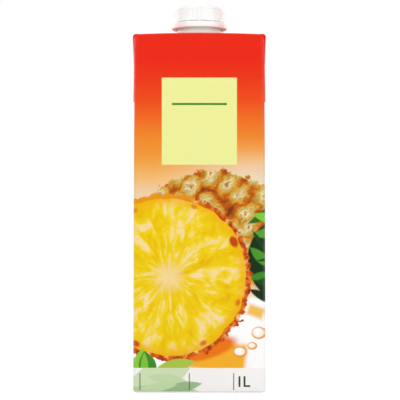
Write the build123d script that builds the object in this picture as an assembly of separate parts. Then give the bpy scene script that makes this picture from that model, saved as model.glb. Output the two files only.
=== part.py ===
from build123d import *
import os
from math import pi, radians, sin, tan

# One-litre juice carton: a filled, folded brick pack of coated board, shut by a white screw cap.
#
# The frame: +Z up, the front panel faces -Y, and the origin is on the floor under the middle of the pack.
# The filled pack is one closed solid, because nothing of its inside can be seen. The spout that is bonded
# to its top panel, the tamper band and the screw cap are pieces of their own.

# The brick
WIDTH = 72.0  # front panel, crease to crease, at half height
DEPTH = 72.0  # side panel, crease to crease, at half height
HEIGHT = 197.5  # floor to the middle of the front panel's top fold
TAPER = 1.2  # how much wider the foot is than the top, as the drink presses the lower half out
CROWN = 0.8  # how far the top panel arches up between the two side folds
BELLY = 0.9  # how far each side panel swells out where it is fullest
EDGE_BOW = 0.12  # what is left of that swell at the top and foot folds
CREASE_RADIUS = 2.5  # the four upright folds
RIM_RADIUS = 1.6  # the folds round the top panel
FOOT_RADIUS = 1.3  # the folds round the foot
LEVELS = (0.0, 0.16, 0.42, 0.72, 1.0)  # shares of the height at which the outline is drawn

# The board and its folds
BOARD = 0.45  # one layer of the laminate
EAR_SIDE_GAP = 0.6  # from the rounding of the front and back top folds to an ear's upper corners
SEAL_WIDTH = 9.0  # the cross seal, folded down flat towards the back
SEAM_WIDTH = 7.0  # the lap of the long seam on the back panel
SEAM_OFFSET = 19.0  # from the middle of the back panel to the near edge of that lap

# The foot
FOOT_LAND = 4.0  # the border that the pack stands on, measured in from the panels
FOOT_RECESS = 2.4  # how far the bottom panel is dished up inside that border
FOOT_SLOPE = 3.0  # how far the dish draws in from its border to its flat
FOOT_EAR_GAP = 1.2  # between the tips of the two ears folded under the foot

# The spout, on the front half of the top panel
SPOUT_BACK = 18.0  # from the front panel to the spout's axis
NECK_RADIUS = 12.2
FLANGE_WIDTH = 2.8  # how far the flange reaches out from the neck
FLANGE_HEIGHT = 1.5  # its upper face, above the front panel's top fold
FLANGE_EDGE = 0.5  # the rounding of its upper edge
BEAD_DEPTH = 1.0  # the ring on the neck that holds the tamper band down
BEAD_HEIGHT = 1.0

# The closure
BAND_WALL = 1.95  # the tamper band round the bead
BAND_START = 3.7  # its lower edge, above the front panel's top fold
BAND_HEIGHT = 3.3
BAND_LIP = 0.9  # the height of the turned-in lower edge, under the bead
BAND_EDGE = 0.5  # the rounding of its outer edges
SLIT = 0.4  # between the band and the cap, crossed by the break-off bridges
BRIDGES = 12
BRIDGE_WIDTH = 1.0
BRIDGE_INSET = 0.2  # from the band's inner and the cap's outer face to the ends of a bridge
CAP_WALL = 1.4  # from the cap's bore to the bottom of the grooves between its grips
CAP_ROOF = 1.25  # from the cap's bore to its top
CAP_HEIGHT = 9.1
CAP_DRAFT = 1.5  # degrees that the grips lean in towards the top
CAP_SHOULDER = 2.1  # the rounding of the cap's top edge
GRIPS = 60
GRIP_DEPTH = 0.35
GRIP_START = 0.9  # the plain collar under the grips
CLEARANCE = 0.25  # between the neck and what is screwed or pressed over it

BAND_FOOT = HEIGHT + BAND_START
CAP_FOOT = BAND_FOOT + BAND_HEIGHT + SLIT
CAP_PEAK = CAP_FOOT + CAP_HEIGHT
BORE_RADIUS = NECK_RADIUS + CLEARANCE
BEAD_RADIUS = NECK_RADIUS + BEAD_DEPTH
FLANGE_RADIUS = NECK_RADIUS + FLANGE_WIDTH
BAND_BORE = BEAD_RADIUS + CLEARANCE
BAND_RADIUS = BAND_BORE + BAND_WALL
CAP_RADIUS = BORE_RADIUS + CAP_WALL + GRIP_DEPTH  # over the grips, at the cap's lower edge
NECK_PEAK = CAP_PEAK - CAP_ROOF - CLEARANCE
SPOUT_Y = SPOUT_BACK - DEPTH / 2
EAR_REACH = DEPTH / 2 - RIM_RADIUS - EAR_SIDE_GAP  # half an ear's width, which is also its drop
BEYOND = 2 * (WIDTH + DEPTH + HEIGHT)  # a length that passes right through the pack


def swell(share):
    """How far a panel stands out at that share of the height: it is fullest below the middle."""
    return EDGE_BOW + (BELLY - EDGE_BOW) * sin(pi * share**0.75)


def outline(share, grow_x=0.0, grow_y=0.0):
    """The pack's level outline: four bowed sides and four rounded creases."""
    spread = TAPER * (0.5 - share)
    half_x = (WIDTH + spread) / 2 + grow_x
    half_y = (DEPTH + spread) / 2 + grow_y
    bow = swell(share)
    corners = [(half_x, half_y), (-half_x, half_y), (-half_x, -half_y), (half_x, -half_y)]
    middles = [(0, half_y + bow), (-half_x - bow, 0), (0, -half_y - bow), (half_x + bow, 0)]
    sides = [ThreePointArc(corners[i], middles[i], corners[(i + 1) % 4]) for i in range(4)]
    return fillet(make_face(sides).vertices(), CREASE_RADIUS)


def block(grow_x=0.0, grow_y=0.0, grow_top=0.0):
    """The folded brick with its rims rounded, or the same brick under further layers of board."""
    levels = [Pos(0, 0, share * HEIGHT) * outline(share, grow_x, grow_y) for share in LEVELS]
    above = Pos(0, 0, HEIGHT + 4 * BOARD + CROWN) * outline(1.0, grow_x, grow_y)
    tower = loft(levels + [above])
    arch_radius = (WIDTH**2 / 4 + CROWN**2) / (2 * CROWN)
    arch = Pos(0, 0, HEIGHT + grow_top - arch_radius) * Rot(90, 0, 0) * Cylinder(arch_radius, BEYOND)
    brick = tower & arch
    top = brick.faces().sort_by(Axis.Z)[-1]
    brick = fillet(top.edges(), RIM_RADIUS)
    foot = brick.faces().sort_by(Axis.Z)[0]
    return fillet(foot.edges(), FOOT_RADIUS)


def top_ears():
    """The two triangles of doubled board, folded down on the side panels from the top folds."""
    low, high = HEIGHT - EAR_REACH, HEIGHT + BEYOND
    triangle = Plane.YZ * make_face(
        Polyline((-EAR_REACH, HEIGHT), (0, low), (EAR_REACH, HEIGHT), (EAR_REACH, high),
                 (-EAR_REACH, high), close=True)
    )
    return block(grow_x=2 * BOARD) & extrude(triangle, BEYOND, both=True)


def cross_seal():
    """The seal across the top panel, lying flat, and its two ends that run down the ears."""
    strip = Plane.YZ * (
        Pos(0, HEIGHT - EAR_REACH) * Rectangle(SEAL_WIDTH, BEYOND, align=(Align.MIN, Align.MIN))
    )
    return block(grow_x=4 * BOARD, grow_top=2 * BOARD) & extrude(strip, BEYOND, both=True)


def long_seam():
    """The lap of the long seam, one layer proud of the back panel."""
    lap = Pos(SEAM_OFFSET, 0, 0) * Box(
        SEAM_WIDTH, DEPTH, BEYOND, align=(Align.MIN, Align.MIN, Align.CENTER)
    )
    return block(grow_y=BOARD) & lap


def foot_recess():
    """The dish in the underside, inside the border that the pack stands on."""
    wide = Rectangle(WIDTH + TAPER / 2 - 2 * FOOT_LAND, DEPTH + TAPER / 2 - 2 * FOOT_LAND)
    narrow = Rectangle(wide.width - 2 * FOOT_SLOPE, wide.rectangle_height - 2 * FOOT_SLOPE)
    return loft([wide, Pos(0, 0, FOOT_RECESS) * narrow])


def foot_ears():
    """The two ears folded under the foot, tip to tip, each with its end of the lower cross seal."""
    reach = WIDTH / 2 - FOOT_LAND - FOOT_SLOPE
    half = DEPTH / 2 - FOOT_LAND - FOOT_SLOPE
    tip = FOOT_EAR_GAP / 2
    ear_under = FOOT_RECESS - 2 * BOARD
    seal_under = ear_under - 2 * BOARD
    triangle = make_face(Polyline((tip, 0), (reach, half), (reach, -half), close=True))
    ear = Pos(0, 0, ear_under) * extrude(triangle, 3 * BOARD)
    strip = Pos(tip, 0, seal_under) * Box(
        reach - tip, SEAL_WIDTH, FOOT_RECESS - seal_under + BOARD, align=(Align.MIN, Align.MIN, Align.MIN)
    )
    one_side = ear + strip
    return one_side, one_side.rotate(Axis.Z, 180)


def carton():
    """The filled pack: the brick with every fold and lap of its board, as one closed solid."""
    pack = block() + top_ears() + cross_seal() + long_seam()
    pack = pack - foot_recess()
    for ear in foot_ears():
        pack = pack + ear
    return pack


def turned(points):
    """A ring or cup turned about the spout's axis from (radius, height) points."""
    return Pos(0, SPOUT_Y, 0) * revolve(Plane.XZ * make_face(Polyline(*points, close=True)), Axis.Z)


def spout(pack):
    """Flange and neck in one moulding. The flange takes the arch of the top panel under it."""
    top = HEIGHT + FLANGE_HEIGHT
    flange = Pos(0, SPOUT_Y, top) * Cylinder(
        FLANGE_RADIUS, FLANGE_HEIGHT + CROWN, align=(Align.CENTER, Align.CENTER, Align.MAX)
    )
    rim = flange.edges().group_by(Axis.Z)[-1]
    flange = fillet(rim, FLANGE_EDGE)
    bead_foot = BAND_FOOT + BAND_LIP + CLEARANCE
    neck = turned(
        [
            (0, top - FLANGE_HEIGHT / 2),
            (NECK_RADIUS, top - FLANGE_HEIGHT / 2),
            (NECK_RADIUS, bead_foot),
            (BEAD_RADIUS, bead_foot),
            (BEAD_RADIUS, bead_foot + BEAD_HEIGHT / 2),
            (NECK_RADIUS, bead_foot + BEAD_HEIGHT),
            (NECK_RADIUS, NECK_PEAK),
            (0, NECK_PEAK),
        ]
    )
    return flange + neck - pack


def around(piece, count):
    """Copies of a piece, evenly spaced round the spout's axis."""
    axis = Axis((0, SPOUT_Y, 0), (0, 0, 1))
    return [piece.rotate(axis, 360 * i / count) for i in range(count)]


def tamper_band():
    """The ring that stays on the neck, hooked under its bead, with bridges up to the cap."""
    top = BAND_FOOT + BAND_HEIGHT
    ring = turned(
        [
            (BORE_RADIUS, BAND_FOOT),
            (BAND_RADIUS, BAND_FOOT),
            (BAND_RADIUS, top),
            (BAND_BORE, top),
            (BAND_BORE, BAND_FOOT + BAND_LIP),
            (BORE_RADIUS, BAND_FOOT + BAND_LIP),
        ]
    )
    outer_edges = [e for e in ring.edges().filter_by(GeomType.CIRCLE) if e.radius > BAND_RADIUS - 0.01]
    ring = fillet(outer_edges, BAND_EDGE)
    bridge_start = BAND_BORE + BRIDGE_INSET
    bridge_length = CAP_RADIUS - BRIDGE_INSET - bridge_start
    bridge = Pos(bridge_start, SPOUT_Y, top) * Box(
        bridge_length, BRIDGE_WIDTH, SLIT, align=(Align.MIN, Align.CENTER, Align.MIN)
    )
    return ring + around(bridge, BRIDGES)


def cap():
    """The screw cap: a cup with grips round its skirt and a rounded top edge."""
    lean = tan(radians(CAP_DRAFT))
    top_radius = CAP_RADIUS - CAP_HEIGHT * lean
    cup = turned([(0, CAP_FOOT), (CAP_RADIUS, CAP_FOOT), (top_radius, CAP_PEAK), (0, CAP_PEAK)])
    cup = fillet(cup.edges().group_by(Axis.Z)[-1], CAP_SHOULDER)
    bore_height = NECK_PEAK + CLEARANCE - CAP_FOOT
    bore = Pos(0, SPOUT_Y, CAP_FOOT) * Cylinder(
        BORE_RADIUS, bore_height, align=(Align.CENTER, Align.CENTER, Align.MIN)
    )
    groove_width = pi * CAP_RADIUS / GRIPS
    groove_length = CAP_HEIGHT - GRIP_START - CAP_SHOULDER
    cutter = Rot(0, -CAP_DRAFT, 0) * Box(
        2 * GRIP_DEPTH, groove_width, groove_length, align=(Align.CENTER, Align.CENTER, Align.MIN)
    )
    groove = Pos(CAP_RADIUS - GRIP_START * lean, SPOUT_Y, CAP_FOOT + GRIP_START) * cutter
    return cup - bore - around(groove, GRIPS)


def main():
    os.makedirs("parts", exist_ok=True)
    pack = carton()
    pieces = {"carton": pack, "spout": spout(pack), "tamper_band": tamper_band(), "cap": cap()}
    for name, piece in pieces.items():
        export_step(piece, f"parts/{name}.step")


main()
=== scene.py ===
from math import atan2, cos, hypot, pi, radians, sin

import bmesh
import bpy
from mathutils import Matrix, Vector


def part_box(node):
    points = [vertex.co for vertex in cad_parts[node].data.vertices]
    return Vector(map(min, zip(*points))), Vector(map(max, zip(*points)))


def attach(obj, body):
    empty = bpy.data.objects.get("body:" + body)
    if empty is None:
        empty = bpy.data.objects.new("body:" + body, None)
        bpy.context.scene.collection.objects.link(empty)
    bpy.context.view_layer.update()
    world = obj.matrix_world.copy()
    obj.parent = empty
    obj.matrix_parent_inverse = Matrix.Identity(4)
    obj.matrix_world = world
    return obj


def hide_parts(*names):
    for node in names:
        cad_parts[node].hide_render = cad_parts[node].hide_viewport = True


bl_info = {
    "name": "Juice carton",
    "version": (1, 0, 0),
    "blender": (4, 5, 0),
    "location": "View3D > Sidebar > Carton",
    "description": "A printed one-litre juice carton with a white screw cap, and a plain stage for it",
    "category": "Add Mesh",
}

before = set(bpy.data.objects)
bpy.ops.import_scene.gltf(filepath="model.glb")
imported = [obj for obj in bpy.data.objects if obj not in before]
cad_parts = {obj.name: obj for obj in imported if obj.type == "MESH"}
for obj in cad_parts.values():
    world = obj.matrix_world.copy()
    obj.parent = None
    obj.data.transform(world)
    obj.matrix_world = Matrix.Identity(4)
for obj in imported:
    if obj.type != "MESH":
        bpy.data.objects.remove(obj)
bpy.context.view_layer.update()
MM = 0.001

CARTON_LOW, CARTON_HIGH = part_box("carton")
SPOUT_LOW, SPOUT_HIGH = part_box("spout")
BAND_LOW, BAND_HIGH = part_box("tamper_band")
CAP_LOW, CAP_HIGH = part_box("cap")
SPOUT_AXIS = (CAP_LOW + CAP_HIGH) / 2
BOARD = 0.45 * MM  # one layer of the laminate
TOP_FOLD = CARTON_HIGH.z - 2 * BOARD  # the cross seal lies two layers thick on the top panel
END_GAP = 0.8 * MM  # from the ends of ears and seal to the pack's front and back
EDGE_BOW = 0.12 * MM  # the panels bow out this much even at foot and top
SEAM_SIDES = 19 * MM, 26 * MM  # where the long seam's lap lies across the back panel
NECK_RADIUS, BEAD_RADIUS = 12.2 * MM, 13.2 * MM

# The print, in mm, unrolled round the pack: x from the middle of the front, y up from the floor
PANEL = 72.0
WRAP = 1.02  # the print is drawn this much closer, so that it meets at the rounded folds
SLICE_CENTRE, SLICE_RADIUS = (-17.0, 63.5), 45.0
SCALE_SLANT = radians(38)  # of the rows of scales on the fruit's skin


# ---------------------------------------------------------------------------------------------------
# Sizes and colours that a user may change


class CartonShape(bpy.types.PropertyGroup):
    """Sizes of the folded pack."""

    width: bpy.props.FloatProperty(
        name="Width", description="Front panel, crease to crease, at half height",
        default=72 * MM, unit="LENGTH")
    depth: bpy.props.FloatProperty(
        name="Depth", description="Side panel, crease to crease, at half height",
        default=72 * MM, unit="LENGTH")
    taper: bpy.props.FloatProperty(
        name="Taper", description="How much wider the foot is than the top",
        default=1.2 * MM, unit="LENGTH")
    belly: bpy.props.FloatProperty(
        name="Belly", description="How far the filling presses each side panel out",
        default=0.9 * MM, unit="LENGTH")
    crown: bpy.props.FloatProperty(
        name="Crown", description="How far the top panel arches up between its side folds",
        default=0.8 * MM, unit="LENGTH")
    dents: bpy.props.FloatProperty(
        name="Dents", description="Depth of the soft unevenness of the panels",
        default=0.22 * MM, unit="LENGTH")
    crease: bpy.props.FloatProperty(
        name="Crease", description="Radius of the upright folds", default=2.2 * MM, unit="LENGTH")
    rim: bpy.props.FloatProperty(
        name="Rim", description="Radius of the folds round the top panel", default=1.5 * MM, unit="LENGTH")
    foot: bpy.props.FloatProperty(
        name="Foot", description="Radius of the folds round the foot", default=1.2 * MM, unit="LENGTH")
    seal: bpy.props.FloatProperty(
        name="Seal", description="Width of the cross seal that lies over the top panel",
        default=9 * MM, unit="LENGTH")


class ClosureShape(bpy.types.PropertyGroup):
    """Sizes of the screw cap, its band and the spout."""

    grips: bpy.props.IntProperty(name="Grips", description="Ribs round the cap", default=60, min=12, max=90)
    grip_depth: bpy.props.FloatProperty(
        name="Grip depth", description="How far the grooves between the ribs go in",
        default=0.35 * MM, unit="LENGTH")
    shoulder: bpy.props.FloatProperty(
        name="Shoulder", description="Rounding of the cap's top edge", default=2.1 * MM, unit="LENGTH")
    draft: bpy.props.FloatProperty(
        name="Draft", description="How much narrower the cap is at its top",
        default=0.24 * MM, unit="LENGTH")
    bridges: bpy.props.IntProperty(
        name="Bridges", description="Break-off bridges between band and cap", default=12, min=4, max=24)


class PrintColours(bpy.types.PropertyGroup):
    """The plain inks of the print."""

    label: bpy.props.StringProperty(
        name="Label", description="Ink of the bare label panels", default="#eff09b")
    rule: bpy.props.StringProperty(
        name="Rule", description="Ink of the rules on the labels", default="#328214")
    band: bpy.props.StringProperty(
        name="Band", description="Ground of the band at the foot", default="#f7f5f6")
    wording: bpy.props.StringProperty(
        name="Wording", description="Ink of the volume mark", default="#3a5a26")


# ---------------------------------------------------------------------------------------------------
# Modelling


def start_edit(name):
    """Names the primitive just added, puts its place and size into its mesh and goes into edit mode."""
    piece = bpy.context.object
    piece.name = piece.data.name = name
    bpy.ops.object.transform_apply(location=True, rotation=True, scale=True)
    bpy.ops.object.mode_set(mode="EDIT")
    bpy.ops.mesh.select_mode(type="FACE")
    return piece


def add_block(name, low, high):
    """A box from its lowest to its highest corner, in edit mode."""
    low, high = Vector(low), Vector(high)
    bpy.ops.object.select_all(action="DESELECT")
    bpy.ops.mesh.primitive_cube_add(size=1, location=(low + high) / 2, scale=high - low)
    return start_edit(name)


def pick(kind, test):
    """Selects, in edit mode, only the edges or faces that pass the test."""
    bpy.ops.mesh.select_mode(type=kind)
    bpy.ops.mesh.select_all(action="DESELECT")
    mesh = bmesh.from_edit_mesh(bpy.context.edit_object.data)
    mesh.normal_update()
    for item in mesh.edges if kind == "EDGE" else mesh.faces:
        if test(item):
            item.select_set(True)
    bmesh.update_edit_mesh(bpy.context.edit_object.data)


def middle(item):
    """The middle of an edge or a face."""
    return sum((v.co for v in item.verts), Vector()) / len(item.verts)


def runs_along(edge, axis):
    """Whether an edge is parallel to an axis."""
    way = (edge.verts[1].co - edge.verts[0].co).normalized()
    return abs(way[axis]) > 0.99


def near(a, b):
    """Whether two lengths are the same but for rounding."""
    return abs(a - b) < 0.02 * MM


def slice_along(axis, places):
    """Cuts the whole mesh across an axis at each place, so that it can bend there."""
    for place in places:
        point, normal = Vector(), Vector()
        point[axis], normal[axis] = place, 1
        bpy.ops.mesh.select_all(action="SELECT")
        bpy.ops.mesh.bisect(plane_co=point, plane_no=normal)


def weld():
    """Makes one of vertices that lie in the same place."""
    bpy.ops.mesh.select_all(action="SELECT")
    bpy.ops.mesh.remove_doubles(threshold=0.01 * MM)


def steps(low, high, count):
    """Evenly spaced places between two ends, without the ends."""
    return [low + (high - low) * i / count for i in range(1, count)]


def apply_modifier(piece, name, kind, **settings):
    """Adds a modifier with its settings and applies it."""
    modifier = piece.modifiers.new(name, kind)
    for key, value in settings.items():
        setattr(modifier, key, value)
    bpy.context.view_layer.objects.active = piece
    bpy.ops.object.modifier_apply(modifier=name)


def finish_piece(piece, material, slot, *nodes, angle=35):
    """Out of edit mode, smooth, with its first material, on the root body in place of its CAD nodes."""
    bpy.ops.object.mode_set(mode="OBJECT")
    bpy.ops.object.select_all(action="DESELECT")
    piece.select_set(True)
    bpy.context.view_layer.objects.active = piece
    bpy.ops.object.shade_smooth_by_angle(angle=radians(angle))
    piece.data.materials.append(material)
    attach(piece, "root")
    if nodes:
        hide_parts(*nodes)


def join_pieces(pieces):
    """Makes one piece of several, under the first one's name."""
    bpy.ops.object.select_all(action="DESELECT")
    for piece in pieces:
        piece.select_set(True)
    bpy.context.view_layer.objects.active = pieces[0]
    bpy.ops.object.join()
    return pieces[0]


def pressed_out(point, shape):
    """Where a point of the flat brick goes as the drink presses it out: taper, bellied panels, crown."""
    share = min(max(point.z / TOP_FOLD, 0), 1)
    across, back = 2 * point.x / shape.width, 2 * point.y / shape.depth
    bow = EDGE_BOW + (shape.belly - EDGE_BOW) * sin(pi * share**0.75)
    spread = shape.taper * (0.5 - share) / 2
    x = point.x + across * (spread + bow * max(0, 1 - back**2))
    y = point.y + back * (spread + bow * max(0, 1 - across**2))
    arch = shape.crown * across**2 * max(0, share * 8 - 7)  # only in the topmost eighth
    return Vector((x, y, point.z - arch))


def pressure_cage(shape):
    """A lattice round the pack that gives its flat pieces the form of the filled pack."""
    data = bpy.data.lattices.new("pressure")
    data.points_u, data.points_v, data.points_w = 9, 9, 25
    data.interpolation_type_u = data.interpolation_type_v = data.interpolation_type_w = "KEY_CATMULL_ROM"
    cage = bpy.data.objects.new("pressure", data)
    bpy.context.scene.collection.objects.link(cage)
    room = 4 * MM  # the cage stands this much past the pack
    size = (shape.width + room, shape.depth + room, TOP_FOLD + room)
    scale = Vector([size[i] / (2 * max(p.co[i] for p in data.points)) for i in range(3)])
    place = Vector((0, 0, TOP_FOLD / 2))
    cage.location, cage.scale = place, scale
    for point in data.points:
        moved = pressed_out(place + point.co * scale, shape) - place
        point.co_deform = Vector([moved[i] / scale[i] for i in range(3)])
    bpy.context.view_layer.update()
    return cage


def press_out(piece, shape):
    """Gives a piece of the flat brick the form of the filled pack."""
    cage = pressure_cage(shape)
    apply_modifier(piece, "filled", "LATTICE", object=cage)
    bpy.data.lattices.remove(cage.data)


def show_cut_edge(piece, way):
    """Shows the raw board on the faces that look one way."""
    piece.data.materials.append(material_named("cut_board_edge"))
    for face in piece.data.polygons:
        face.material_index = int(face.normal.dot(way) > 0.9)


def model_body(shape):
    """The brick: rounded folds, a dished foot, and cuts across it so that its panels can belly."""
    half_x, half_y = shape.width / 2, shape.depth / 2
    body = add_block("pack_body", (-half_x, -half_y, 0), (half_x, half_y, TOP_FOLD))
    pick("EDGE", lambda e: runs_along(e, 2))
    bpy.ops.mesh.bevel(offset=shape.crease, segments=6, affect="EDGES")
    pick("EDGE", lambda e: all(near(v.co.z, TOP_FOLD) for v in e.verts))
    bpy.ops.mesh.bevel(offset=shape.rim, segments=5, affect="EDGES")
    pick("EDGE", lambda e: all(near(v.co.z, 0) for v in e.verts))
    bpy.ops.mesh.bevel(offset=shape.foot, segments=4, affect="EDGES")
    pick("FACE", lambda f: f.normal.z < -0.99)
    for rise, ratio in ((0, 0.925), (2.4 * MM, 0.91)):  # the flat border, then the slope of the dish
        bpy.ops.mesh.extrude_region_move(TRANSFORM_OT_translate={"value": (0, 0, rise)})
        bpy.ops.transform.resize(value=(ratio, ratio, 1), center_override=(0, 0, 0))
    slice_along(2, steps(0, TOP_FOLD, 33))
    slice_along(0, steps(-half_x, half_x, 12))
    slice_along(1, steps(-half_y, half_y, 12))
    bpy.ops.object.mode_set(mode="OBJECT")
    return body


def model_ear(shape, side):
    """A triangle of doubled board, folded down on a side panel from the top fold."""
    reach = shape.depth / 2 - END_GAP
    inner, outer = shape.width / 2 - 2.5 * MM, shape.width / 2 + 2 * BOARD  # rooted inside the body
    ends = sorted((side * inner, side * outer))
    ear = add_block("ear", (ends[0], -reach, TOP_FOLD - reach), (ends[1], reach, TOP_FOLD))
    for way in (-1, 1):
        bpy.ops.mesh.select_all(action="SELECT")
        bpy.ops.mesh.bisect(plane_co=(0, 0, TOP_FOLD - reach), plane_no=(0, way, -1),
                            use_fill=True, clear_outer=True)
    weld()
    pick("EDGE", lambda e: near(abs(middle(e).x), outer) and runs_along(e, 1))
    bpy.ops.mesh.bevel(offset=shape.rim, segments=5, affect="EDGES")
    pick("EDGE", lambda e: near(abs(middle(e).x), outer) and not runs_along(e, 1) and not runs_along(e, 2))
    bpy.ops.mesh.bevel(offset=0.5 * MM, segments=3, affect="EDGES")
    slice_along(2, steps(TOP_FOLD - reach, TOP_FOLD, 8))
    slice_along(1, steps(-reach, reach, 12))
    bpy.ops.object.mode_set(mode="OBJECT")
    return ear


def model_cross_seal(shape):
    """The seal that lies over the top panel and down both ears, with the sealing jaw's pressed lines."""
    reach = shape.depth / 2 - END_GAP
    half = shape.width / 2 + 4 * BOARD
    top = TOP_FOLD + 2 * BOARD
    seal = add_block("cross_seal", (-half, 0, TOP_FOLD - reach), (half, shape.seal, top))
    pick("EDGE", lambda e: runs_along(e, 1) and near(middle(e).z, top))
    bpy.ops.mesh.bevel(offset=2.2 * MM, segments=6, affect="EDGES")
    for line in (2.4 * MM, 4.4 * MM):
        slice_along(1, [line + side * half_width * MM for half_width in (0.2, 0.5) for side in (-1, 1)])
        pick("FACE", lambda f, line=line: abs(middle(f).y - line) < 0.25 * MM and abs(f.normal.y) < 0.1)
        bpy.ops.transform.shrink_fatten(value=-0.16 * MM)
    pick("EDGE", lambda e: near(abs(middle(e).y - shape.seal / 2), shape.seal / 2) and not runs_along(e, 1))
    bpy.ops.mesh.bevel(offset=0.12 * MM, segments=2, affect="EDGES")
    slice_along(2, steps(TOP_FOLD - reach, TOP_FOLD, 6))
    slice_along(0, steps(-half, half, 12))
    bpy.ops.object.mode_set(mode="OBJECT")
    return seal


def model_long_seam(shape):
    """The lap of the long seam on the back panel: a cut edge on one side, a soft rise on the other."""
    back = shape.depth / 2
    left, right = SEAM_SIDES
    seam = add_block("long_seam", (left, back - 0.6 * MM, 1.4 * MM),
                     (right, back + BOARD, TOP_FOLD - 1.6 * MM))
    pick("EDGE", lambda e: runs_along(e, 2) and middle(e).y > back and near(middle(e).x, left))
    bpy.ops.mesh.bevel(offset=0.44 * MM, segments=3, affect="EDGES")
    pick("EDGE", lambda e: runs_along(e, 0) and middle(e).y > back)
    bpy.ops.mesh.bevel(offset=0.4 * MM, segments=3, affect="EDGES")
    slice_along(2, steps(0, TOP_FOLD, 33))
    bpy.ops.object.mode_set(mode="OBJECT")
    return seam


def model_foot_flap(shape, side):
    """An ear folded under the foot, with its end of the lower cross seal, inside the dish."""
    reach, tip = shape.width / 2 - 7.4 * MM, 0.6 * MM
    low, high = 1.5 * MM, 3.2 * MM
    ends = sorted((side * tip, side * reach))
    flap = add_block("foot_flap", (ends[0], -reach, low), (ends[1], reach, high))
    for way in (-1, 1):
        bpy.ops.mesh.select_all(action="SELECT")
        bpy.ops.mesh.bisect(plane_co=(side * tip, 0, 0), plane_no=(-side, way, 0),
                            use_fill=True, clear_outer=True)
    weld()
    pick("EDGE", lambda e: near(middle(e).z, low))
    bpy.ops.mesh.bevel(offset=0.3 * MM, segments=2, affect="EDGES")
    bpy.ops.object.mode_set(mode="OBJECT")
    y_ends = sorted((0, side * shape.seal))
    strip = add_block("foot_seal", (ends[0], y_ends[0], low - 2 * BOARD), (ends[1], y_ends[1], high))
    pick("EDGE", lambda e: near(middle(e).z, low - 2 * BOARD))
    bpy.ops.mesh.bevel(offset=0.15 * MM, segments=2, affect="EDGES")
    bpy.ops.object.mode_set(mode="OBJECT")
    return join_pieces([flap, strip])


def model_cap(shape):
    """The screw cap: a tapered cup with ribs round its skirt, a round shoulder and a faintly dished top."""
    radius = (CAP_HIGH.x - CAP_LOW.x) / 2
    height = CAP_HIGH.z - CAP_LOW.z
    wall, roof, collar = 1.4 * MM, 1.5 * MM, 0.9 * MM
    parts = 4  # faces to each grip: two stay as the rib, two sink as the groove
    bpy.ops.object.select_all(action="DESELECT")
    bpy.ops.mesh.primitive_cone_add(
        vertices=parts * shape.grips, radius1=radius, radius2=radius - shape.draft, depth=height,
        end_fill_type="NGON", location=SPOUT_AXIS)
    cap = start_edit("screw_cap")
    pick("EDGE", lambda e: all(near(v.co.z, CAP_HIGH.z) for v in e.verts))
    bpy.ops.mesh.bevel(offset=shape.shoulder, segments=8, affect="EDGES")
    pick("FACE", lambda f: f.normal.z > 0.9999)
    for thickness, depth in ((1.2 * MM, 0), (0.6 * MM, -0.16 * MM),  # the land and the step of the dish
                             (radius - 6.2 * MM, 0), (0.35 * MM, -0.12 * MM)):  # the gate mark
        bpy.ops.mesh.inset(thickness=thickness, depth=depth)
    pick("FACE", lambda f: f.normal.z < -0.9999)
    bpy.ops.mesh.inset(thickness=wall + shape.grip_depth)
    bpy.ops.mesh.extrude_region_move(TRANSFORM_OT_translate={"value": (0, 0, height - roof)})
    low, high = CAP_LOW.z + collar, CAP_HIGH.z - shape.shoulder - 0.1 * MM
    slice_along(2, (low, high))

    def in_groove(face):
        spot = middle(face) - SPOUT_AXIS
        part = int((atan2(spot.y, spot.x) / (2 * pi) + 1) * parts * shape.grips) % parts
        outside = hypot(spot.x, spot.y) > radius - 0.5 * MM
        return outside and low < middle(face).z < high and part in (1, 2)

    pick("FACE", in_groove)
    bpy.ops.mesh.inset(thickness=0.1 * MM, depth=-shape.grip_depth, use_even_offset=True)
    bpy.ops.object.mode_set(mode="OBJECT")
    apply_modifier(cap, "soft edges", "BEVEL", width=0.07 * MM, segments=2, angle_limit=radians(28))
    return cap


def model_band(shape):
    """The tamper band under the cap, and the bridges that tie it to the cap."""
    radius = (BAND_HIGH.x - BAND_LOW.x) / 2
    slit = CAP_LOW.z - 0.4 * MM
    bpy.ops.object.select_all(action="DESELECT")
    bpy.ops.mesh.primitive_cylinder_add(
        vertices=144, radius=radius, depth=slit - BAND_LOW.z, end_fill_type="NOTHING",
        location=(SPOUT_AXIS.x, SPOUT_AXIS.y, (slit + BAND_LOW.z) / 2))
    band = start_edit("tamper_band_ring")
    slice_along(2, (BAND_LOW.z + 1.1 * MM, slit - 0.9 * MM))
    bpy.ops.object.mode_set(mode="OBJECT")
    apply_modifier(band, "wall", "SOLIDIFY", thickness=1.95 * MM, offset=-1)
    apply_modifier(band, "rounded", "BEVEL", width=0.45 * MM, segments=4, angle_limit=radians(60))
    spot = Vector((SPOUT_AXIS.x + radius - 1.45 * MM, SPOUT_AXIS.y, slit + 0.2 * MM))
    half = Vector((0.3 * MM, 0.5 * MM, 0.35 * MM))
    bridge = add_block("bridge", spot - half, spot + half)
    bpy.ops.mesh.bevel(offset=0.08 * MM, segments=2, affect="EDGES")
    bpy.ops.object.mode_set(mode="OBJECT")
    bridges = [bridge]
    for i in range(1, shape.bridges):
        again = bridge.copy()
        again.data = bridge.data.copy()
        turn = Matrix.Rotation(2 * pi * i / shape.bridges, 4, "Z")
        again.data.transform(Matrix.Translation(SPOUT_AXIS) @ turn @ Matrix.Translation(-SPOUT_AXIS))
        bpy.context.scene.collection.objects.link(again)
        bridges.append(again)
    return join_pieces([band] + bridges)


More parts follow.
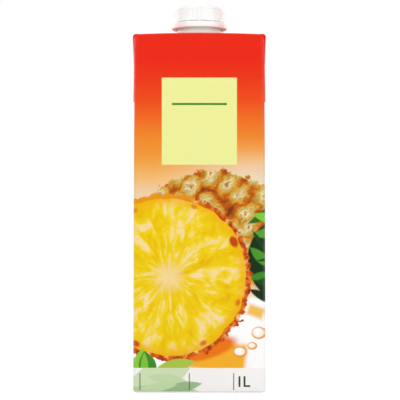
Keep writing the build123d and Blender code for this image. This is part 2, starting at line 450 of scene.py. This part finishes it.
def model_spout():
    """Flange and neck in one moulding, with the bead that holds the band down."""
    radius = (SPOUT_HIGH.x - SPOUT_LOW.x) / 2
    top = TOP_FOLD + 1.5 * MM
    bpy.ops.object.select_all(action="DESELECT")
    bpy.ops.mesh.primitive_cylinder_add(
        vertices=120, radius=radius, depth=top - SPOUT_LOW.z, end_fill_type="NGON",
        location=(SPOUT_AXIS.x, SPOUT_AXIS.y, (top + SPOUT_LOW.z) / 2))
    spout = start_edit("spout_moulding")
    pick("EDGE", lambda e: all(near(v.co.z, top) for v in e.verts))
    bpy.ops.mesh.bevel(offset=0.5 * MM, segments=4, affect="EDGES")
    pick("FACE", lambda f: f.normal.z > 0.99)
    bpy.ops.mesh.inset(thickness=2.3 * MM)
    bead = BAND_LOW.z + 1.15 * MM
    out = BEAD_RADIUS / NECK_RADIUS
    for rise, ratio in ((bead - top, 1), (0.05 * MM, out), (0.5 * MM, 1), (0.5 * MM, 1 / out),
                        (SPOUT_HIGH.z - bead - 1.05 * MM, 1)):
        bpy.ops.mesh.extrude_region_move(TRANSFORM_OT_translate={"value": (0, 0, rise)})
        bpy.ops.transform.resize(value=(ratio, ratio, 1), center_override=SPOUT_AXIS)
    bpy.ops.object.mode_set(mode="OBJECT")
    apply_modifier(spout, "fillet", "BEVEL", width=0.2 * MM, segments=2, angle_limit=radians(50))
    return spout


def model_volume_mark(name, back, surface):
    """The volume, printed at the right of the foot band: text made a mesh and laid on its panel."""
    bpy.ops.object.select_all(action="DESELECT")
    bpy.ops.object.text_add()
    text = bpy.context.object
    text.data.body = "1L"
    text.data.size = 8.3 * MM
    text.data.offset = 0.11 * MM
    text.data.space_character = 0.92
    text.data.extrude = 0.012 * MM
    bpy.ops.object.convert(target="MESH")
    mark = bpy.context.object
    mark.name = mark.data.name = name
    mark.rotation_euler = (pi / 2, 0, pi if back else 0)
    way = -1 if back else 1
    mark.location = (way * 19.9 * MM, -way * 45 * MM, 3.3 * MM)  # in front of its panel
    bpy.ops.object.transform_apply(location=True, rotation=True, scale=True)
    apply_modifier(mark, "lay", "SHRINKWRAP", target=surface, wrap_method="PROJECT", use_project_y=True,
                   use_negative_direction=True, use_positive_direction=True, offset=0.03 * MM,
                   wrap_mode="ABOVE_SURFACE")
    return mark


# ---------------------------------------------------------------------------------------------------
# Materials


def linear(code):
    """An sRGB hex colour as linear light, with alpha 1."""
    parts = [int(code[i:i + 2], 16) / 255 for i in (1, 3, 5)]
    return tuple(c / 12.92 if c <= 0.04045 else ((c + 0.055) / 1.055) ** 2.4 for c in parts) + (1.0,)


def put(tree, kind, *inputs, stops=(), named=None, **settings):
    """Adds a node. Inputs, in order or named, are values, nodes or sockets; stops fill a colour ramp."""
    node = tree.nodes.new("ShaderNode" + kind)
    for key, value in settings.items():
        setattr(node, key, value)
    for i, (place, code) in enumerate(stops):
        elements = node.color_ramp.elements
        element = elements[i] if i < 2 else elements.new(place)
        element.position, element.color = place, linear(code)
    free = [socket for socket in node.inputs if socket.enabled]
    pairs = list(zip(free, inputs)) + [(node.inputs[key], value) for key, value in (named or {}).items()]
    for socket, value in pairs:
        if isinstance(value, bpy.types.Node):
            value = next(out for out in value.outputs if out.enabled)
        if isinstance(value, bpy.types.NodeSocket):
            tree.links.new(value, socket)
        elif isinstance(value, str):
            socket.default_value = linear(value)
        elif value is not None:
            socket.default_value = value
    return node


def new_material(name):
    """An empty material with its output node."""
    material = bpy.data.materials.new(name)
    material.use_nodes = True
    material.node_tree.nodes.clear()
    return material, material.node_tree


def ellipse(tree, place, centre, radii, turn=0.0, soft=0.3):
    """1 inside an ellipse and 0 outside; soft is the width of its edge in mm."""
    local = put(tree, "Mapping", place, (*centre, 0), (0, 0, radians(turn)), (*radii, 1),
                vector_type="TEXTURE")
    reach = put(tree, "VectorMath", local, operation="LENGTH")
    edge = soft / sum(radii)
    return put(tree, "MapRange", reach, 1 + edge, 1 - edge, 0.0, 1.0, interpolation_type="SMOOTHSTEP")


def bar(tree, place, centre, half, turn=0.0, soft=0.2):
    """1 inside a rectangle and 0 outside; soft is the width of its edge in mm."""
    local = put(tree, "Mapping", place, (*centre, 0), (0, 0, radians(turn)), vector_type="TEXTURE")
    size = put(tree, "VectorMath", local, operation="ABSOLUTE")
    past = put(tree, "SeparateXYZ", put(tree, "VectorMath", size, (*half, 0), operation="SUBTRACT"))
    outside = put(tree, "Math", past.outputs["X"], past.outputs["Y"], operation="MAXIMUM")
    return put(tree, "MapRange", outside, soft / 2, -soft / 2, 0.0, 1.0)


def blade(tree, place, base, tip, width, soft=0.25):
    """1 inside a leaf that is pointed at both ends, from its base to its tip, and 0 outside."""
    run, rise = tip[0] - base[0], tip[1] - base[1]
    length = hypot(run, rise)
    local = put(tree, "Mapping", place, (*base, 0), (0, 0, atan2(rise, run)), (length, length, 1),
                vector_type="TEXTURE")
    parts = put(tree, "SeparateXYZ", local)
    rest = put(tree, "Math", 1.0, parts.outputs["X"], operation="SUBTRACT")
    curve = put(tree, "Math", parts.outputs["X"], rest, operation="MULTIPLY")
    aside = put(tree, "Math", parts.outputs["Y"], operation="ABSOLUTE")
    inside = put(tree, "Math", curve, 2 * width / length, 0.0, operation="MULTIPLY_ADD")
    depth = put(tree, "Math", inside, aside, operation="SUBTRACT")
    return put(tree, "MapRange", depth, 0.0, soft / length, 0.0, 1.0)


def unrolled(tree):
    """Object coordinates unrolled round the pack, in mm: x from the front's middle, y up from the floor.

    The back repeats the front, and each side panel carries the picture on from both its neighbours. Also
    gives the place across a side panel, and 1 on the side panels and 0 elsewhere.
    """
    spot = put(tree, "VectorMath", put(tree, "TexCoord").outputs["Object"], operation="SCALE",
               named={"Scale": 1 / MM})
    x, y, z = put(tree, "SeparateXYZ", spot).outputs
    sign_x = put(tree, "Math", x, operation="SIGN")
    sign_y = put(tree, "Math", y, operation="SIGN")
    to_left = put(tree, "Math", x, sign_y, operation="MULTIPLY")
    to_back = put(tree, "Math", y, sign_x, operation="MULTIPLY")
    on_face = put(tree, "Math", to_left, -WRAP, operation="MULTIPLY")
    on_side = put(tree, "Math", to_back, WRAP, operation="MULTIPLY")
    turn = put(tree, "Math", put(tree, "Math", on_side, operation="SIGN"), -PANEL, on_side,
               operation="MULTIPLY_ADD")
    far_x = put(tree, "Math", x, operation="ABSOLUTE")
    far_y = put(tree, "Math", y, operation="ABSOLUTE")
    is_side = put(tree, "Math", far_x, far_y, operation="GREATER_THAN")
    across = put(tree, "Mix", is_side, on_face, turn, data_type="FLOAT")
    return put(tree, "CombineXYZ", across, z, 0.0), on_side, is_side


def ground(tree, place):
    """The ground of the print: red at the top, then orange, then a pale cream, sooner at the right."""
    parts = put(tree, "SeparateXYZ", place)
    height = put(tree, "MapRange", parts.outputs["Y"], 100.0, 200.0, 0.0, 1.0)
    left = put(tree, "ValToRGB", height, stops=(
        (0.0, "#f6e2c4"), (0.11, "#eecba0"), (0.175, "#f3bc74"), (0.24, "#f0a84e"), (0.306, "#f19636"),
        (0.40, "#ef8828"), (0.50, "#ef6a1e"), (0.60, "#ec4c16"), (0.73, "#eb3413"), (0.82, "#ec2812")))
    right = put(tree, "ValToRGB", height, stops=(
        (0.10, "#f5dabb"), (0.175, "#ecd9b8"), (0.24, "#efcaa2"), (0.273, "#f1be84"), (0.34, "#f19e4c"),
        (0.404, "#ef872c"), (0.503, "#ef6e20"), (0.60, "#ee4e18"), (0.73, "#eb3413"), (0.82, "#ec2812")))
    turn = put(tree, "Math", parts.outputs["X"], pi / PANEL, operation="MULTIPLY")
    share = put(tree, "MapRange", put(tree, "Math", turn, operation="SINE"), -0.9, 0.9, 0.0, 1.0)
    return put(tree, "Mix", share, left, right, data_type="RGBA")


def fruit_skin(tree, place):
    """The whole fruit's skin: gold scales about 14 x 9 mm in slanting rows, each with a cream boss."""
    shake = put(tree, "TexNoise", named={"Vector": place, "Scale": 0.16, "Detail": 3.0})
    moved = put(tree, "VectorMath", shake.outputs["Color"], (9.0, 9.0, 0.0), place,
                operation="MULTIPLY_ADD")
    rows = put(tree, "Mapping", moved, (11.0, 76.0, 0), (0, 0, SCALE_SLANT), (14.0, 9.0, 1),
               vector_type="TEXTURE")
    scales = put(tree, "TexVoronoi", named={"Vector": rows, "Scale": 1.0, "Randomness": 0.55},
                 voronoi_dimensions="2D")
    fill = put(tree, "ValToRGB", scales.outputs["Distance"], stops=(
        (0.02, "#b4662c"), (0.08, "#dcb070"), (0.15, "#efdca8"), (0.26, "#dcc078"), (0.36, "#d2ae50"),
        (0.45, "#d99a34"), (0.54, "#cc7010"), (0.64, "#b0500c"), (0.76, "#80340e")))
    drawn = put(tree, "Mapping", moved, (0, 0, 0), (0, 0, SCALE_SLANT), (3.4, 1.0, 1),
                vector_type="TEXTURE")
    fibres = put(tree, "TexNoise", named={"Vector": drawn, "Scale": 0.9, "Detail": 5.0, "Roughness": 0.65})
    light = put(tree, "MapRange", fibres, 0.32, 0.68, 0.55, 1.3)
    return put(tree, "VectorMath", fill, put(tree, "CombineXYZ", light, light, light), operation="MULTIPLY")


def fruit_flesh(tree, place):
    """The cut face: yellow flesh with pale rays, with how far out it lies, evenly and unevenly."""
    local = put(tree, "VectorMath", place, (*SLICE_CENTRE, 0), operation="SUBTRACT")
    reach = put(tree, "VectorMath", local, operation="LENGTH")
    way = put(tree, "VectorMath", put(tree, "VectorMath", local, operation="NORMALIZE"), operation="SCALE",
              named={"Scale": 3.1})
    lift = put(tree, "CombineXYZ", 0.0, 0.0, put(tree, "Math", reach, 0.055, operation="MULTIPLY"))
    seed = put(tree, "VectorMath", way, lift, operation="ADD")
    rays = put(tree, "TexNoise", named={"Vector": seed, "Scale": 1.5, "Detail": 6.0, "Roughness": 0.62,
                                        "Distortion": 0.5})
    flesh = put(tree, "ValToRGB", rays, stops=(
        (0.30, "#e6b000"), (0.40, "#ecc400"), (0.50, "#f0ce0c"), (0.555, "#f3d640"), (0.605, "#f6da8e"),
        (0.70, "#f8dcb2")))
    shake = put(tree, "TexNoise", named={"Vector": place, "Scale": 0.09, "Detail": 2.0})
    wobble = put(tree, "Math", put(tree, "Math", shake, 0.5, operation="SUBTRACT"), 5.0, reach,
                 operation="MULTIPLY_ADD")
    return flesh, reach, wobble


def draw_slice(tree, place):
    """Layers, from the lowest up, of the big slice: its rind, its flesh, its core and rim, and its eyes."""
    flesh, reach, wobble = fruit_flesh(tree, place)
    grain = put(tree, "TexNoise", named={"Vector": place, "Scale": 0.3, "Detail": 4.0})
    jag = put(tree, "Math", put(tree, "Math", grain, 0.5, operation="SUBTRACT"), 6.0, wobble,
              operation="MULTIPLY_ADD")
    rind = put(tree, "MapRange", jag, SLICE_RADIUS + 1.2, SLICE_RADIUS + 0.8, 0.0, 1.0)
    aim = put(tree, "VectorMath", place, (0.88, -0.47, 0.0), operation="DOT_PRODUCT").outputs["Value"]
    lit = put(tree, "MapRange", aim, -62.0, -38.0, 0.0, 1.0, interpolation_type="SMOOTHSTEP")
    rind_ink = put(tree, "ValToRGB", grain, stops=(
        (0.32, "#94300a"), (0.43, "#c2440a"), (0.53, "#dc6a18"), (0.62, "#ecaa5c"), (0.7, "#f6dcb0")))
    cut = put(tree, "MapRange", wobble, SLICE_RADIUS - 1.6, SLICE_RADIUS - 2.2, 0.0, 1.0)
    layers = [(rind, "#e8940c"), (put(tree, "Math", rind, lit, operation="MULTIPLY"), rind_ink), (cut, flesh)]
    for measure, start, end, share, ink in (
            (reach, 15.0, 8.0, 0.3, "#f0c814"), (reach, 11.0, 2.0, 0.62, "#f7dcb4"),
            (wobble, SLICE_RADIUS - 9.0, SLICE_RADIUS - 1.8, 0.85, "#efb404")):
        fade = put(tree, "MapRange", measure, start, end, 0.0, share, interpolation_type="SMOOTHSTEP")
        layers.append((put(tree, "Math", cut, fade, operation="MULTIPLY"), ink))
    far = SLICE_RADIUS - 4.0
    for turn, size, ink in (
            (28, 2.7, "#c6420c"), (-117, 2.0, "#cc500c"), (-20, 1.5, "#d87410"), (70, 1.5, "#dc8a10"),
            (-62, 1.6, "#d87410"), (118, 1.6, "#dc8a10")):
        eye = SLICE_CENTRE[0] + far * cos(radians(turn)), SLICE_CENTRE[1] + far * sin(radians(turn))
        layers.append((ellipse(tree, place, eye, (size * 0.8, size * 1.2), turn, 1.8), ink))
    return layers


def draw_crown(tree, place):
    """Layers of the leafy crown at the right, which runs on round the fold."""
    shade = ellipse(tree, place, (48.0, 73.0), (21.0, 23.0), 0, 0.6)
    layers = [(shade, "#12300f")]
    for base, tip, width, ink in (
            ((27.0, 57.0), (46.0, 48.0), 6.0, "#12300f"), ((25.0, 66.0), (58.0, 52.0), 7.0, "#1d4a18"),
            ((26.0, 92.0), (66.0, 112.0), 9.0, "#2c6a20"), ((27.0, 86.0), (70.0, 92.0), 9.0, "#57a034"),
            ((29.0, 98.0), (52.0, 92.0), 7.0, "#86c83e"), ((28.0, 80.0), (41.0, 68.0), 6.5, "#4c962c"),
            ((27.0, 62.0), (40.0, 66.0), 4.6, "#3f8a24"), ((40.0, 84.0), (74.0, 62.0), 8.0, "#2f7020"),
            ((30.0, 72.0), (62.0, 76.0), 4.0, "#143a12"), ((29.0, 90.0), (38.0, 76.0), 3.2, "#17401a")):
        layers.append((blade(tree, place, base, tip, width, 0.8), ink))
    return layers


def draw_juice(tree, place):
    """Layers of the fruit's orange glow on the white ground and of three drops of juice."""
    layers = [(bar(tree, place, (9.0, 20.0), (17.0, 8.0), -6, 3.0), "#f4b02a"),
              (ellipse(tree, place, (4.0, 24.0), (17.0, 5.4), 16, 5.0), "#ec760e"),
              (bar(tree, place, (31.5, 44.5), (4.6, 3.0), -20, 2.4), "#f3c05a")]
    for x, y, wide, high in ((33.2, 32.8, 4.0, 3.4), (29.6, 25.7, 2.7, 2.1), (22.8, 22.4, 3.8, 2.9)):
        for left, up, less_wide, less_high, soft, ink in (
                (0, 0, 0, 0, 0.5, "#ea9030"), (0.25, 0.2, 0.75, 0.7, 1.1, "#fdf2e2"),
                (0.9, 0.7, 2.0, 1.6, 1.2, "#ffffff")):
            drop = ellipse(tree, place, (x - left, y + up), (wide - less_wide, high - less_high), 0, soft)
            layers.append((drop, ink))
    return layers


def draw_foot_band(tree, place, colours):
    """Layers of the foot: leaves that stand on the band, the white band, pale leaves in it and dividers."""
    layers = [(blade(tree, place, (-38.0, 9.0), (-31.0, 25.0), 5.0), "#8cc840"),
              (blade(tree, place, (-27.0, 6.0), (-30.8, 23.0), 10.0), "#3f8c26"),
              (blade(tree, place, (-30.5, 6.0), (-30.8, 22.4), 4.5), "#7cc03c"),
              (blade(tree, place, (-25.0, 12.6), (-2.0, 17.2), 7.4), "#abc44c")]
    band = bar(tree, place, (0.0, 4.0), (90.0, 9.6), 0, 0.2)
    layers.append((band, colours.band))
    tints = (((-40.0, 4.0), (-4.0, 15.0), 17.0, "#cfe0bb"), ((-42.0, 2.0), (1.0, 0.6), 7.0, "#b6d3a3"),
             ((-30.0, 9.0), (-6.0, 6.0), 6.0, "#c5dbad"), ((-22.0, 0.4), (2.0, 5.2), 6.4, "#9dbc90"),
             ((-34.0, 2.0), (-12.0, 4.4), 5.0, "#c5dbad"))
    for base, tip, width, ink in tints:
        leaf = blade(tree, place, base, tip, width, 0.5)
        layers.append((put(tree, "Math", band, leaf, operation="MULTIPLY"), ink))
    for x in (-33.2, -5.6, 19.2):
        layers.append((bar(tree, place, (x, 6.05), (0.28, 4.65)), "#5f7349"))
    return layers


def draw_labels(tree, place, on_side, is_side, colours):
    """Layers of the bare label panels: a small one on the front and back, a large one on each side."""
    layers = [(bar(tree, place, (0.0, 148.8), (21.0, 23.9)), colours.label),
              (bar(tree, place, (0.0, 158.2), (15.4, 0.55)), colours.rule)]
    side_place = put(tree, "CombineXYZ", on_side, put(tree, "SeparateXYZ", place).outputs["Y"], 0.0)
    shapes = [((0.0, 85.0), (26.0, 62.0), colours.label)]
    shapes += [((0.0, height), (21.0, 0.4), colours.rule) for height in (135.0, 92.0, 49.0)]
    for centre, half, ink in shapes:
        shape = bar(tree, side_place, centre, half)
        layers.append((put(tree, "Math", is_side, shape, operation="MULTIPLY"), ink))
    return layers


def board_surface(tree, ink, roughness=0.3):
    """The finish of film-coated board: a clear polyethylene skin over ink, with the fibre's relief."""
    spot = put(tree, "TexCoord").outputs["Object"]
    fibre = put(tree, "TexNoise", named={"Vector": spot, "Scale": 900.0, "Detail": 2.0})
    waves = put(tree, "TexNoise", named={"Vector": spot, "Scale": 70.0, "Detail": 2.0})
    fine = put(tree, "Bump", named={"Strength": 0.12, "Distance": 0.02 * MM, "Height": fibre})
    relief = put(tree, "Bump", named={
        "Strength": 0.25, "Distance": 0.12 * MM, "Height": waves, "Normal": fine})
    gloss = put(tree, "MapRange", waves, 0.3, 0.7, roughness - 0.03, roughness + 0.05)
    surface = put(tree, "BsdfPrincipled", named={
        "Base Color": ink, "Roughness": gloss, "IOR": 1.5, "Specular IOR Level": 0.12, "Normal": relief})
    put(tree, "OutputMaterial", surface)


def painted_fold_highlight(tree, colour):
    """Painted highlight: the upright folds are mixed a little towards white, in place of the light that the
    rounded folds catch.
    """
    spot = put(tree, "VectorMath", put(tree, "TexCoord").outputs["Object"], operation="ABSOLUTE")
    parts = put(tree, "SeparateXYZ", spot)
    least = put(tree, "Math", parts.outputs["X"], parts.outputs["Y"], operation="MINIMUM")
    # how much painted highlight each spot gets: up to 5 % white on the upright folds
    fold = put(tree, "MapRange", least, 34.6 * MM, 35.6 * MM, 0.0, 0.05,
               interpolation_type="SMOOTHSTEP")
    return put(tree, "Mix", fold, colour, "#ffffff", data_type="RGBA")


def printed_board(colours):
    """Coated board, offset printed: bright inks under a clear film, with a picture of a pineapple."""
    material, tree = new_material("printed_coated_board")
    place, on_side, is_side = unrolled(tree)
    colour = ground(tree, place)
    height = put(tree, "SeparateXYZ", place).outputs["Y"]
    spines = put(tree, "TexNoise", named={"Vector": place, "Scale": 0.34, "Detail": 3.0})
    uneven = put(tree, "VectorMath", spines.outputs["Color"], (9.0, 9.0, 0.0), place,
                 operation="MULTIPLY_ADD")
    fruit = ellipse(tree, uneven, (12.5, 78.5), (48.0, 48.0), 0, 0.5)
    above = put(tree, "MapRange", height, 56.0, 60.0, 0.0, 1.0)
    layers = [(put(tree, "MapRange", height, 53.0, 51.0, 0.0, 1.0), "#ffffff"),
              (put(tree, "Math", fruit, above, operation="MULTIPLY"), fruit_skin(tree, place))]
    layers += draw_crown(tree, place) + draw_juice(tree, place) + draw_slice(tree, place)
    layers += draw_foot_band(tree, place, colours) + draw_labels(tree, place, on_side, is_side, colours)
    for mask, ink in layers:
        colour = put(tree, "Mix", mask, colour, ink, data_type="RGBA")
    # the print gets a painted highlight along its upright folds before it goes under the film
    board_surface(tree, painted_fold_highlight(tree, colour))
    return material


def plain_red_board():
    """The same coated board where it is folded over from the top: an even red."""
    material, tree = new_material("red_coated_board")
    board_surface(tree, "#ec2812")
    return material


def white_board():
    """Unprinted coated board under the foot: warm white."""
    material, tree = new_material("unprinted_coated_board")
    board_surface(tree, "#f1eee8", 0.38)
    return material


def cut_board():
    """The raw cut edge of the board: matt layers of pale and brown fibre."""
    material, tree = new_material("cut_board_edge")
    spot = put(tree, "TexCoord").outputs["Object"]
    fibre = put(tree, "TexNoise", named={"Vector": spot, "Scale": 2500.0, "Detail": 3.0})
    ink = put(tree, "ValToRGB", fibre, stops=((0.35, "#cdb594"), (0.6, "#efe6d6")))
    put(tree, "OutputMaterial", put(tree, "BsdfPrincipled", named={"Base Color": ink, "Roughness": 0.85}))
    return material


def moulded_white(name, code, roughness, scale):
    """Injection-moulded polyethylene: soft satin white, with the tool's fine spark-eroded grain."""
    material, tree = new_material(name)
    spot = put(tree, "TexCoord").outputs["Object"]
    grain = put(tree, "TexNoise", named={"Vector": spot, "Scale": scale, "Detail": 3.0})
    relief = put(tree, "Bump", named={"Strength": 0.15, "Distance": 0.02 * MM, "Height": grain})
    gloss = put(tree, "MapRange", grain, 0.3, 0.7, roughness - 0.04, roughness + 0.04)
    surface = put(tree, "BsdfPrincipled", named={
        "Base Color": code, "Roughness": gloss, "IOR": 1.54, "Subsurface Weight": 0.15,
        "Subsurface Radius": (1.0, 0.9, 0.8), "Subsurface Scale": 0.8 * MM, "Normal": relief})
    put(tree, "OutputMaterial", surface)
    return material


def mark_ink(code):
    """Printing ink under the film, dark green."""
    material, tree = new_material("green_ink")
    spot = put(tree, "TexCoord").outputs["Object"]
    cover = put(tree, "TexNoise", named={"Vector": spot, "Scale": 1500.0})
    thin = put(tree, "MapRange", cover, 0.4, 0.7, 0.0, 0.25)
    ink = put(tree, "Mix", thin, code, "#64804c", data_type="RGBA")
    surface = put(tree, "BsdfPrincipled", named={"Base Color": ink, "Roughness": 0.32, "IOR": 1.5})
    put(tree, "OutputMaterial", surface)
    return material


def material_named(name):
    """The material of this name, made when it is first asked for."""
    colours = bpy.context.scene.carton_print
    makers = {
        "printed_coated_board": lambda: printed_board(colours),
        "red_coated_board": plain_red_board,
        "unprinted_coated_board": white_board,
        "cut_board_edge": cut_board,
        "white_polyethylene": lambda: moulded_white("white_polyethylene", "#fbfbfa", 0.36, 1400.0),
        "natural_polyethylene": lambda: moulded_white("natural_polyethylene", "#ece9e2", 0.4, 1100.0),
        "green_ink": lambda: mark_ink(colours.wording),
    }
    return bpy.data.materials.get(name) or makers[name]()


def stage_floor_material():
    """A matt white sheet, lit to plain white for the camera and darkened only by the pack's soft shadow."""
    material, tree = new_material("stage_sheet")
    sheet = put(tree, "BsdfDiffuse", "#f4f4f4")
    light = put(tree, "Emission", "#ffffff", 1.08)
    seen = put(tree, "LightPath").outputs["Is Camera Ray"]
    share = put(tree, "Math", seen, 0.88, operation="MULTIPLY")
    put(tree, "OutputMaterial", put(tree, "MixShader", share, sheet, light))
    return material


# ---------------------------------------------------------------------------------------------------
# Operators


class CARTON_OT_body(bpy.types.Operator):
    """Build the brick, pressed out by the drink, with its print and its unprinted underside"""

    bl_idname = "carton.body"
    bl_label = "Pack body"

    def execute(self, context):
        shape = context.scene.carton_shape
        body = model_body(shape)
        press_out(body, shape)
        waves = bpy.data.textures.new("panel_waves", "CLOUDS")
        waves.noise_scale = 34 * MM
        waves.noise_depth = 1
        panels = body.vertex_groups.new(name="panels")
        panels.add([v.index for v in body.data.vertices if v.co.z > 5 * MM], 1.0, "REPLACE")
        apply_modifier(body, "dents", "DISPLACE", texture=waves, strength=shape.dents, mid_level=0.5,
                       texture_coords="LOCAL", vertex_group="panels")
        finish_piece(body, material_named("printed_coated_board"), "printed_board", "carton")
        body.data.materials.append(material_named("unprinted_coated_board"))
        for face in body.data.polygons:
            face.material_index = int(face.center.z < 3 * MM and face.normal.z < -0.3)
        return {"FINISHED"}


class CARTON_OT_seam(bpy.types.Operator):
    """Build the long seam's lap on the back panel"""

    bl_idname = "carton.seam"
    bl_label = "Long seam"

    def execute(self, context):
        seam = model_long_seam(context.scene.carton_shape)
        press_out(seam, context.scene.carton_shape)
        finish_piece(seam, material_named("printed_coated_board"), "printed_board", "carton")
        show_cut_edge(seam, Vector((1, 0, 0)))
        return {"FINISHED"}


class CARTON_OT_top_folds(bpy.types.Operator):
    """Build the two ears folded down from the top and the cross seal over it"""

    bl_idname = "carton.top_folds"
    bl_label = "Ears and cross seal"

    def execute(self, context):
        shape = context.scene.carton_shape
        ears = join_pieces([model_ear(shape, side) for side in (-1, 1)])
        ears.name = ears.data.name = "top_ears"
        seal = model_cross_seal(shape)
        for piece in (ears, seal):
            press_out(piece, shape)
            finish_piece(piece, material_named("red_coated_board"), "printed_board", "carton")
        show_cut_edge(seal, Vector((0, 1, 0)))
        return {"FINISHED"}


class CARTON_OT_foot_flaps(bpy.types.Operator):
    """Build the two ears folded under the foot, with the ends of the lower seal"""

    bl_idname = "carton.foot_flaps"
    bl_label = "Foot flaps"

    def execute(self, context):
        flaps = join_pieces([model_foot_flap(context.scene.carton_shape, side) for side in (-1, 1)])
        flaps.name = flaps.data.name = "foot_flaps"
        finish_piece(flaps, material_named("unprinted_coated_board"), "printed_board", "carton")
        return {"FINISHED"}


class CARTON_OT_spout(bpy.types.Operator):
    """Build the spout: flange, neck and bead"""

    bl_idname = "carton.spout"
    bl_label = "Spout"

    def execute(self, context):
        natural = material_named("natural_polyethylene")
        finish_piece(model_spout(), natural, "spout_plastic", "spout", angle=40)
        return {"FINISHED"}


class CARTON_OT_tamper_band(bpy.types.Operator):
    """Build the tamper band with its break-off bridges"""

    bl_idname = "carton.tamper_band"
    bl_label = "Tamper band"

    def execute(self, context):
        band = model_band(context.scene.carton_closure)
        finish_piece(band, material_named("white_polyethylene"), "cap_plastic", "tamper_band", angle=40)
        return {"FINISHED"}


class CARTON_OT_screw_cap(bpy.types.Operator):
    """Build the screw cap"""

    bl_idname = "carton.screw_cap"
    bl_label = "Screw cap"

    def execute(self, context):
        cap = model_cap(context.scene.carton_closure)
        finish_piece(cap, material_named("white_polyethylene"), "cap_plastic", "cap", angle=30)
        return {"FINISHED"}


class CARTON_OT_volume_mark(bpy.types.Operator):
    """Lay the printed volume on the front and on the back"""

    bl_idname = "carton.volume_mark"
    bl_label = "Volume mark"

    def execute(self, context):
        ink = material_named("green_ink")
        body = bpy.data.objects["pack_body"]
        for name, back in (("volume_front", False), ("volume_back", True)):
            finish_piece(model_volume_mark(name, back, body), ink, "printed_board")
        return {"FINISHED"}


class CARTON_OT_stage(bpy.types.Operator):
    """Set the floor, the lamps, the world and the camera"""

    bl_idname = "carton.stage"
    bl_label = "Stage"

    def execute(self, context):
        scene = context.scene
        bpy.ops.object.select_all(action="DESELECT")
        bpy.ops.mesh.primitive_plane_add(size=3, location=(0, 0, 0))
        floor = bpy.context.object
        floor.name = "stage_floor"
        floor.data.materials.append(stage_floor_material())
        self.add_lamps(scene)
        self.set_world(scene)
        eye = bpy.data.cameras.new("camera")
        eye.lens, eye.sensor_width = 111.8, 36
        camera = bpy.data.objects.new("camera", eye)
        camera.location = (0.35 * MM, -717 * MM, 105.6 * MM)
        camera.rotation_euler = (pi / 2, 0, 0)
        scene.collection.objects.link(camera)
        scene.camera = camera
        scene.view_settings.view_transform = "Standard"
        return {"FINISHED"}

    def add_lamps(self, scene):
        """Four large soft lamps round the pack and one above it, so that every side is lit alike."""
        middle_height = Vector((0, 0, 100 * MM))
        for name, place, power, size in (
                ("key", (-0.9, -1.1, 0.75), 5.95, 0.8), ("fill", (1.0, -1.0, 0.5), 5.0, 0.8),
                ("back_left", (-1.0, 0.9, 0.6), 5.0, 0.8), ("back_right", (0.9, 1.1, 0.75), 5.0, 0.8),
                ("top", (0.0, 0.0, 1.5), 3.6, 0.9)):
            lamp = bpy.data.lights.new(name, "AREA")
            lamp.shape, lamp.size, lamp.energy = "DISK", size, power
            holder = bpy.data.objects.new(name, lamp)
            holder.location = place
            aim = middle_height - Vector(place)
            holder.rotation_euler = aim.to_track_quat("-Z", "Y").to_euler()
            scene.collection.objects.link(holder)

    def set_world(self, scene):
        """White behind the pack, for the eye and in reflections, and a quiet even light on it."""
        world = bpy.data.worlds.new("studio")
        world.use_nodes = True
        tree = world.node_tree
        tree.nodes.clear()
        paths = put(tree, "LightPath")
        seen = put(tree, "Math", paths.outputs["Is Camera Ray"], paths.outputs["Is Transmission Ray"],
                   operation="MAXIMUM")
        shown = put(tree, "Math", seen, paths.outputs["Is Glossy Ray"], operation="MAXIMUM")
        strength = put(tree, "Mix", shown, 0.5, 1.0, data_type="FLOAT")
        put(tree, "OutputWorld", put(tree, "Background", "#ffffff", strength))
        scene.world = world


class CARTON_PT_sidebar(bpy.types.Panel):
    """The pieces of the carton, in the order they are built"""

    bl_label = "Juice carton"
    bl_idname = "CARTON_PT_sidebar"
    bl_space_type = "VIEW_3D"
    bl_region_type = "UI"
    bl_category = "Carton"

    def draw(self, context):
        for group in ("carton_shape", "carton_closure", "carton_print"):
            settings = getattr(context.scene, group)
            for key in settings.__annotations__:
                self.layout.prop(settings, key)
        for operator in OPERATORS:
            self.layout.operator(operator.bl_idname)


GROUPS = {"carton_shape": CartonShape, "carton_closure": ClosureShape, "carton_print": PrintColours}
OPERATORS = (CARTON_OT_body, CARTON_OT_seam, CARTON_OT_top_folds, CARTON_OT_foot_flaps, CARTON_OT_spout,
             CARTON_OT_tamper_band, CARTON_OT_screw_cap, CARTON_OT_volume_mark, CARTON_OT_stage)


def register():
    for name, group in GROUPS.items():
        bpy.utils.register_class(group)
        setattr(bpy.types.Scene, name, bpy.props.PointerProperty(type=group))
    for operator in OPERATORS:
        bpy.utils.register_class(operator)
    bpy.utils.register_class(CARTON_PT_sidebar)


def unregister():
    bpy.utils.unregister_class(CARTON_PT_sidebar)
    for operator in reversed(OPERATORS):
        bpy.utils.unregister_class(operator)
    for name, group in reversed(GROUPS.items()):
        delattr(bpy.types.Scene, name)
        bpy.utils.unregister_class(group)


def main():
    """Builds everything in order."""
    register()
    for operator in OPERATORS:
        getattr(bpy.ops.carton, operator.bl_idname.removeprefix("carton."))()


if __name__ == "__main__":
    main()
